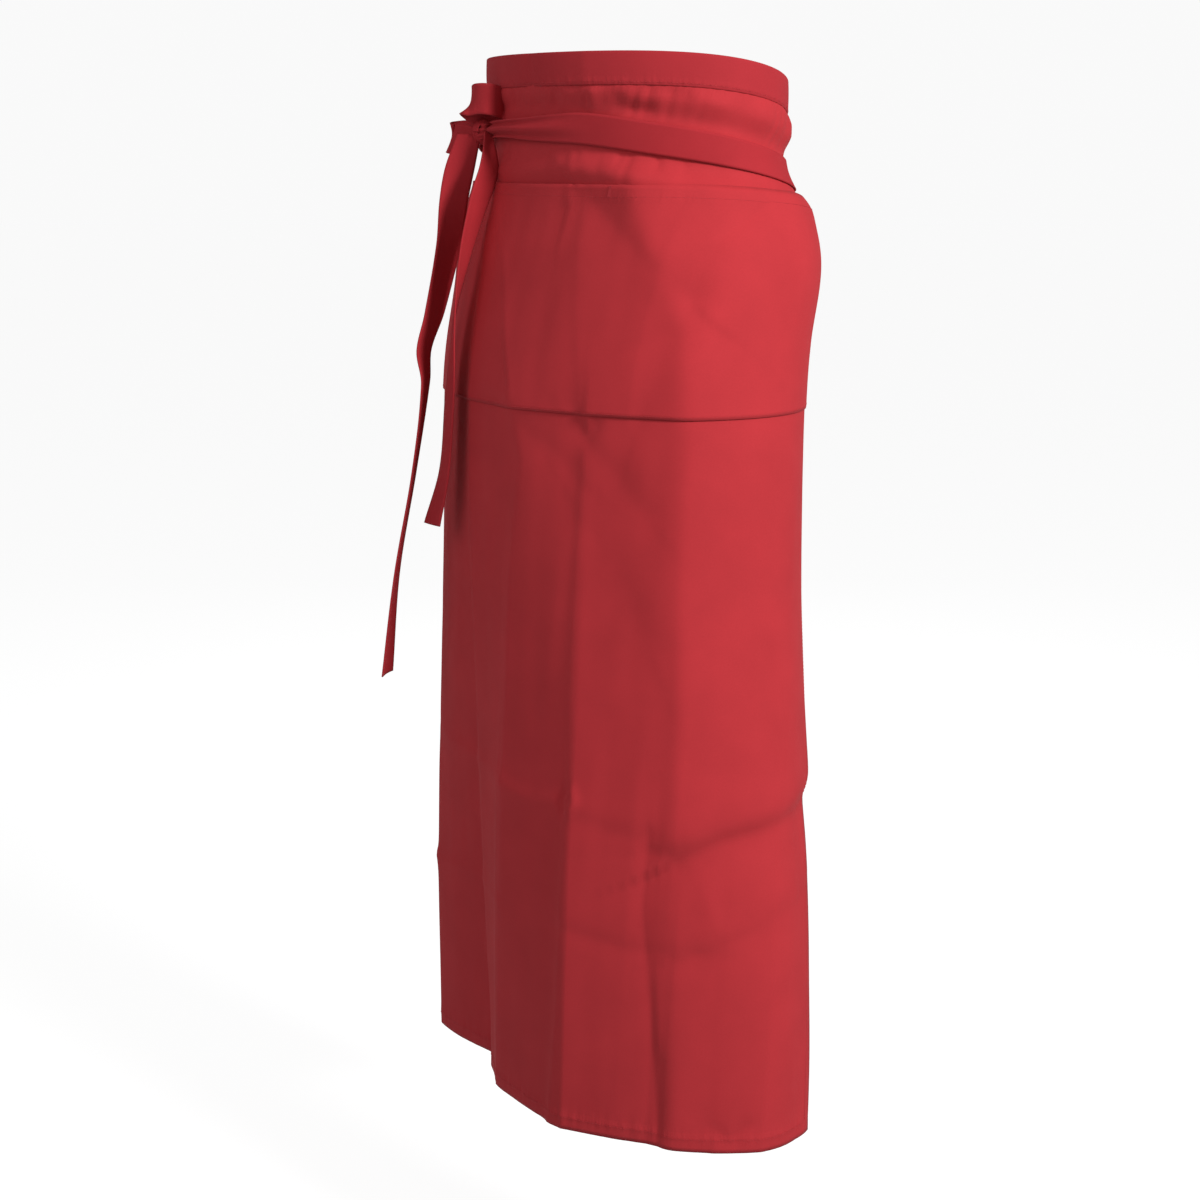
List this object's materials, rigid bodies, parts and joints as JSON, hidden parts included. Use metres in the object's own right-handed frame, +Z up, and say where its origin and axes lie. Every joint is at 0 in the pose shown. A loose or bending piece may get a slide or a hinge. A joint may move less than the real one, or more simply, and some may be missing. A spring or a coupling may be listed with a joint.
{
  "type": "waiter apron",
  "caption": "Long waist apron in red cloth in its worn form, with a full-width front pocket and tapes that cross at the back and tie in a bow at the front.",
  "frame": {"origin": "centre of the waist at half the height of the waistband at the front", "axes": "+Z up, the wearer faces -Y, the wearer's left hand is at +X"},
  "size_m": [0.4452, 0.297, 0.8911],
  "materials": {
    "cloth": "red cotton and polyester twill, matt",
    "tape": "red woven twill tape, matt"
  },
  "bodies": {
    "root": {"skirt_panel": "cloth", "waistband": "cloth", "pocket_panel": "cloth", "tie_left": "tape", "tie_right": "tape", "bow_knot": "tape", "bow_loop_upper": "tape", "bow_loop_lower": "tape", "tie_end_long": "tape", "tie_end_short": "tape"}
  },
  "joints": []
}
